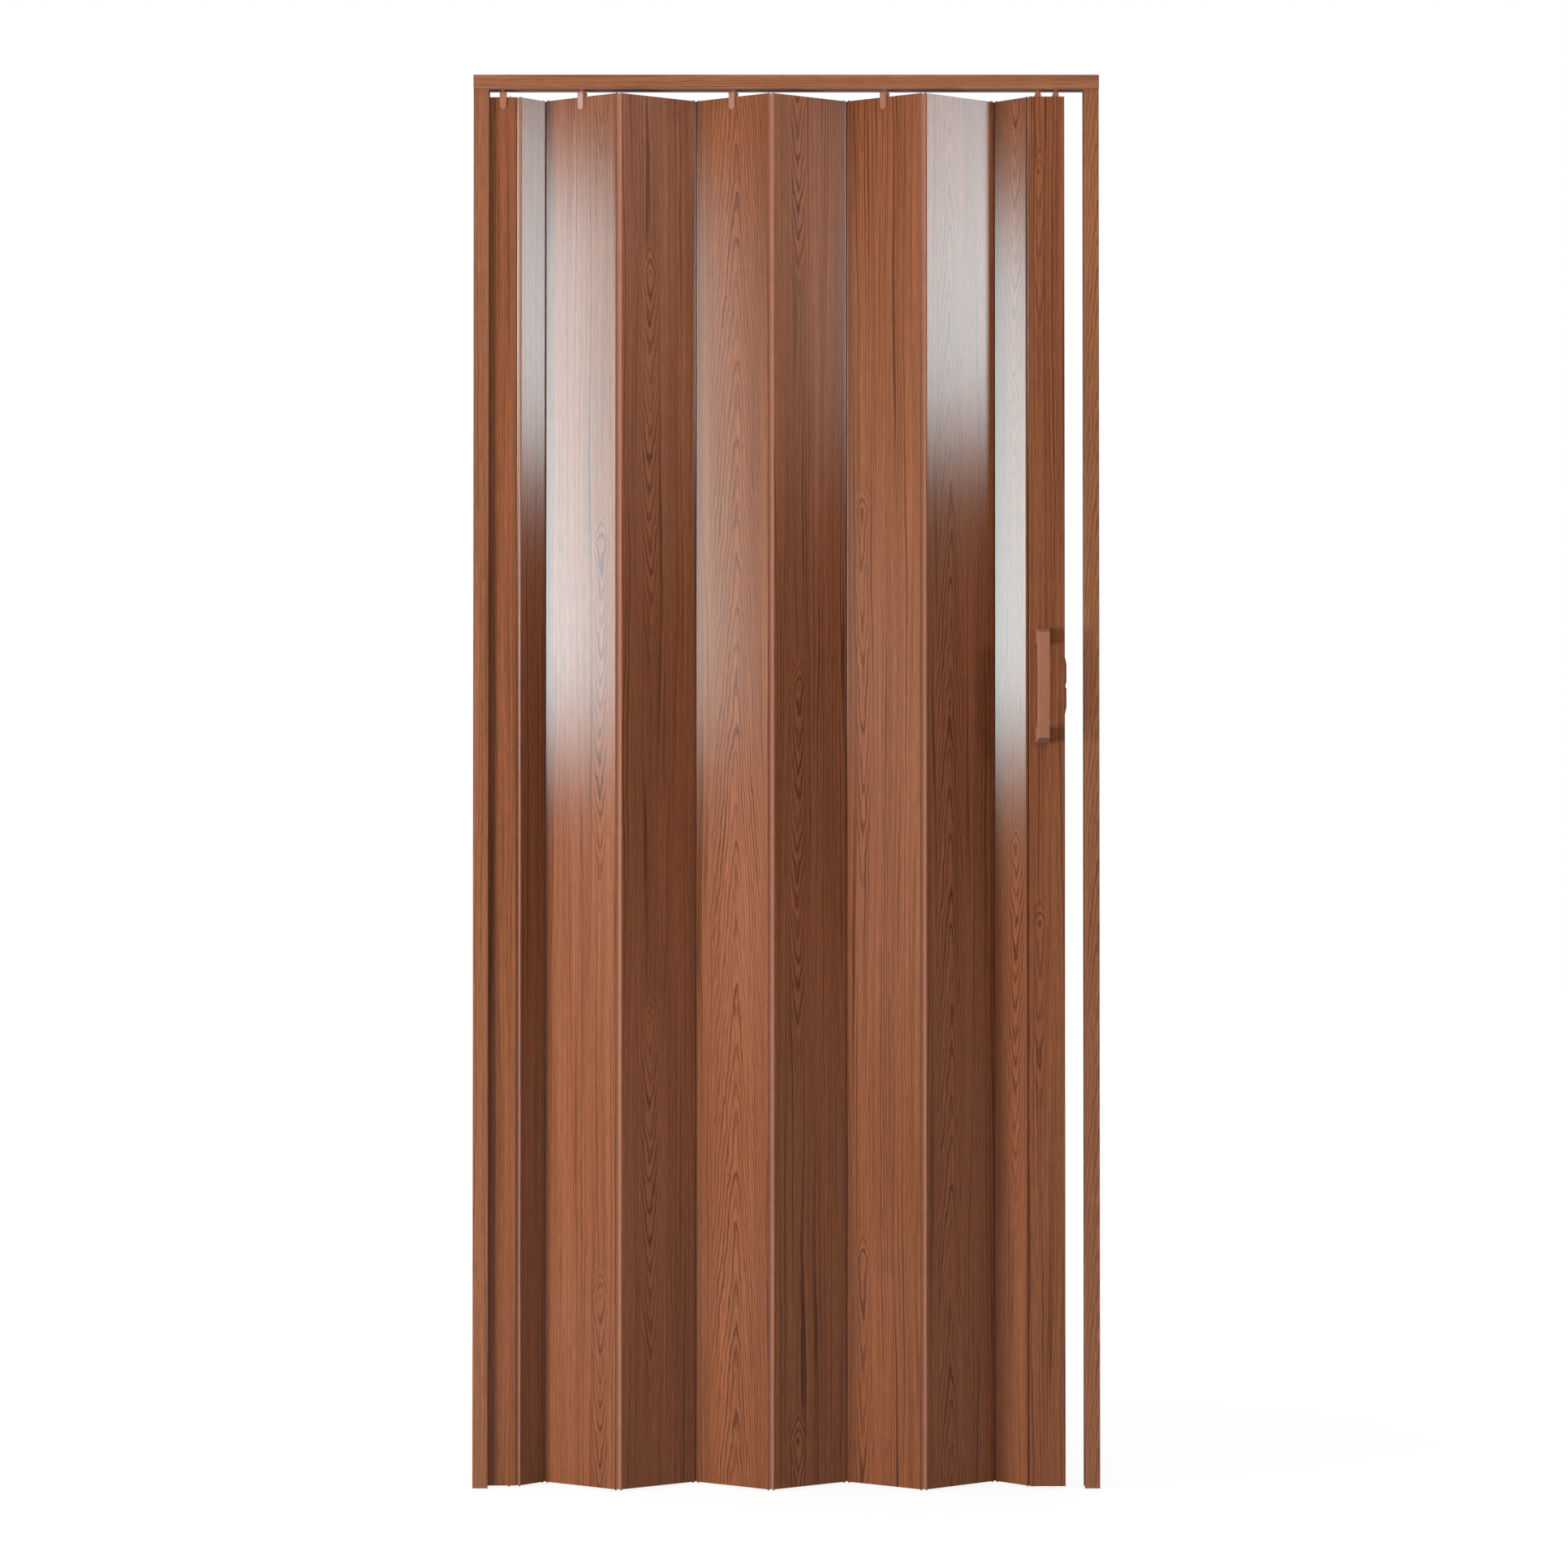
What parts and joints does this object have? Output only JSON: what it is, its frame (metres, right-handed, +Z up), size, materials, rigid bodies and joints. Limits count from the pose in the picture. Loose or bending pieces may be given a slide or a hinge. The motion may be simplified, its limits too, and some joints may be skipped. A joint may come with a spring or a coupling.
{
  "type": "accordion door",
  "caption": "Folding accordion door with hollow wood-print panels on hinge strips and pins, hung by glides from a head rail between two jambs, with a lead post and bow handles.",
  "frame": {"origin": "middle of the frame's footprint on the floor: midway between the outer faces of the jambs and on the centre line of the head rail", "axes": "+X across the doorway from the fixed starter jamb to the jamb that the post closes into, +Y through the doorway away from the viewer, +Z up"},
  "size_m": [0.9, 0.0948, 2.03],
  "materials": {
    "wood_print": "semi-gloss PVC with a reddish-brown wood-grain print",
    "soft_hinge": "plain soft PVC, satin",
    "moulded": "moulded brown plastic, satin",
    "steel": "drawn steel rod"
  },
  "bodies": {
    "frame": {"head_rail": "wood_print", "left_jamb": "wood_print", "right_jamb": "wood_print", "striker": "steel", "starter_profile": "wood_print", "starter_glide": "moulded"},
    "strip_1": {"hinge_strip_1": "soft_hinge", "hinge_pin_1_left": "steel", "hinge_pin_1_right": "steel"},
    "left_half": {"half_panel_left": "wood_print"},
    "strip_2": {"hinge_strip_2": "soft_hinge", "hinge_pin_2_left": "steel", "hinge_pin_2_right": "steel"},
    "panel_1": {"panel_1": "wood_print", "panel_1_glide": "moulded"},
    "strip_3": {"hinge_strip_3": "soft_hinge", "hinge_pin_3_left": "steel", "hinge_pin_3_right": "steel"},
    "panel_2": {"panel_2": "wood_print"},
    "strip_4": {"hinge_strip_4": "soft_hinge", "hinge_pin_4_left": "steel", "hinge_pin_4_right": "steel"},
    "panel_3": {"panel_3": "wood_print", "panel_3_glide": "moulded"},
    "strip_5": {"hinge_strip_5": "soft_hinge", "hinge_pin_5_left": "steel", "hinge_pin_5_right": "steel"},
    "panel_4": {"panel_4": "wood_print"},
    "strip_6": {"hinge_strip_6": "soft_hinge", "hinge_pin_6_left": "steel", "hinge_pin_6_right": "steel"},
    "panel_5": {"panel_5": "wood_print", "panel_5_glide": "moulded"},
    "strip_7": {"hinge_strip_7": "soft_hinge", "hinge_pin_7_left": "steel", "hinge_pin_7_right": "steel"},
    "panel_6": {"panel_6": "wood_print"},
    "strip_8": {"hinge_strip_8": "soft_hinge", "hinge_pin_8_left": "steel", "hinge_pin_8_right": "steel"},
    "right_half": {"half_panel_right": "wood_print"},
    "strip_9": {"hinge_strip_9": "soft_hinge", "hinge_pin_9_left": "steel", "hinge_pin_9_right": "steel"},
    "post": {"lead_post": "wood_print", "post_glide_1": "moulded", "post_glide_2": "moulded", "handle_front": "moulded", "handle_rear": "moulded", "handle_bolt_upper": "steel", "handle_bolt_lower": "steel", "catch": "moulded"}
  },
  "joints": [
    {"name": "door_fold", "type": "hinge", "parent": "frame", "child": "strip_1", "pos_m": [-0.3982, 0, 1], "axis": [0, 0, 1], "range_deg": [-9.82, 83.35]},
    {"name": "left_half_hinge", "type": "hinge", "parent": "strip_1", "child": "left_half", "pos_m": [-0.38326, 0.00131, 1], "axis": [0, 0, 1], "range_deg": [-45.5, 9.8]},
    {"name": "strip_2_hinge", "type": "hinge", "parent": "left_half", "child": "strip_2", "pos_m": [-0.35232, 0.03118, 1], "axis": [0, 0, 1], "range_deg": [-48, 10.1]},
    {"name": "panel_1_hinge", "type": "hinge", "parent": "strip_2", "child": "panel_1", "pos_m": [-0.34512, 0.03118, 1], "axis": [0, 0, 1], "range_deg": [-55.6, 11]},
    {"name": "strip_3_hinge", "type": "hinge", "parent": "panel_1", "child": "strip_3", "pos_m": [-0.2433, -0.03118, 1], "axis": [0, 0, 1], "range_deg": [-11, 55.6]},
    {"name": "panel_2_hinge", "type": "hinge", "parent": "strip_3", "child": "panel_2", "pos_m": [-0.2361, -0.03118, 1], "axis": [0, 0, 1], "range_deg": [-11, 55.6]},
    {"name": "strip_4_hinge", "type": "hinge", "parent": "panel_2", "child": "strip_4", "pos_m": [-0.13427, 0.03118, 1], "axis": [0, 0, 1], "range_deg": [-55.6, 11]},
    {"name": "panel_3_hinge", "type": "hinge", "parent": "strip_4", "child": "panel_3", "pos_m": [-0.12707, 0.03118, 1], "axis": [0, 0, 1], "range_deg": [-55.6, 11]},
    {"name": "strip_5_hinge", "type": "hinge", "parent": "panel_3", "child": "strip_5", "pos_m": [-0.02524, -0.03118, 1], "axis": [0, 0, 1], "range_deg": [-11, 55.6]},
    {"name": "panel_4_hinge", "type": "hinge", "parent": "strip_5", "child": "panel_4", "pos_m": [-0.01804, -0.03118, 1], "axis": [0, 0, 1], "range_deg": [-11, 55.6]},
    {"name": "strip_6_hinge", "type": "hinge", "parent": "panel_4", "child": "strip_6", "pos_m": [0.08378, 0.03118, 1], "axis": [0, 0, 1], "range_deg": [-55.6, 11]},
    {"name": "panel_5_hinge", "type": "hinge", "parent": "strip_6", "child": "panel_5", "pos_m": [0.09098, 0.03118, 1], "axis": [0, 0, 1], "range_deg": [-55.6, 11]},
    {"name": "strip_7_hinge", "type": "hinge", "parent": "panel_5", "child": "strip_7", "pos_m": [0.19281, -0.03118, 1], "axis": [0, 0, 1], "range_deg": [-11, 55.6]},
    {"name": "panel_6_hinge", "type": "hinge", "parent": "strip_7", "child": "panel_6", "pos_m": [0.20001, -0.03118, 1], "axis": [0, 0, 1], "range_deg": [-10.6, 52.3]},
    {"name": "strip_8_hinge", "type": "hinge", "parent": "panel_6", "child": "strip_8", "pos_m": [0.29808, 0.03693, 1], "axis": [0, 0, 1], "range_deg": [-52.3, 10.6]},
    {"name": "right_half_hinge", "type": "hinge", "parent": "strip_8", "child": "right_half", "pos_m": [0.30528, 0.03693, 1], "axis": [0, 0, 1], "range_deg": [-47.7, 10.1]},
    {"name": "strip_9_hinge", "type": "hinge", "parent": "right_half", "child": "strip_9", "pos_m": [0.34662, 0.0005, 1], "axis": [0, 0, 1], "range_deg": [-7.5, 25.9]},
    {"name": "post_hinge", "type": "hinge", "parent": "strip_9", "child": "post", "pos_m": [0.3538, 0, 1], "axis": [0, 0, 1], "range_deg": [-7.6, 26.9]}
  ],
  "couplings": [
    {"joint": "left_half_hinge", "follows": "door_fold", "ratio": -0.48485},
    {"joint": "strip_2_hinge", "follows": "door_fold", "ratio": -0.51515},
    {"joint": "panel_1_hinge", "follows": "door_fold", "ratio": -0.60606},
    {"joint": "strip_3_hinge", "follows": "door_fold", "ratio": 0.60606},
    {"joint": "panel_2_hinge", "follows": "door_fold", "ratio": 0.60606},
    {"joint": "strip_4_hinge", "follows": "door_fold", "ratio": -0.60606},
    {"joint": "panel_3_hinge", "follows": "door_fold", "ratio": -0.60606},
    {"joint": "strip_5_hinge", "follows": "door_fold", "ratio": 0.60606},
    {"joint": "panel_4_hinge", "follows": "door_fold", "ratio": 0.60606},
    {"joint": "strip_6_hinge", "follows": "door_fold", "ratio": -0.60606},
    {"joint": "panel_5_hinge", "follows": "door_fold", "ratio": -0.60606},
    {"joint": "strip_7_hinge", "follows": "door_fold", "ratio": 0.60606},
    {"joint": "panel_6_hinge", "follows": "door_fold", "ratio": 0.56647},
    {"joint": "strip_8_hinge", "follows": "door_fold", "ratio": -0.56647},
    {"joint": "right_half_hinge", "follows": "door_fold", "ratio": -0.51116},
    {"joint": "strip_9_hinge", "follows": "door_fold", "ratio": 0.24957},
    {"joint": "post_hinge", "follows": "door_fold", "ratio": 0.26159}
  ]
}
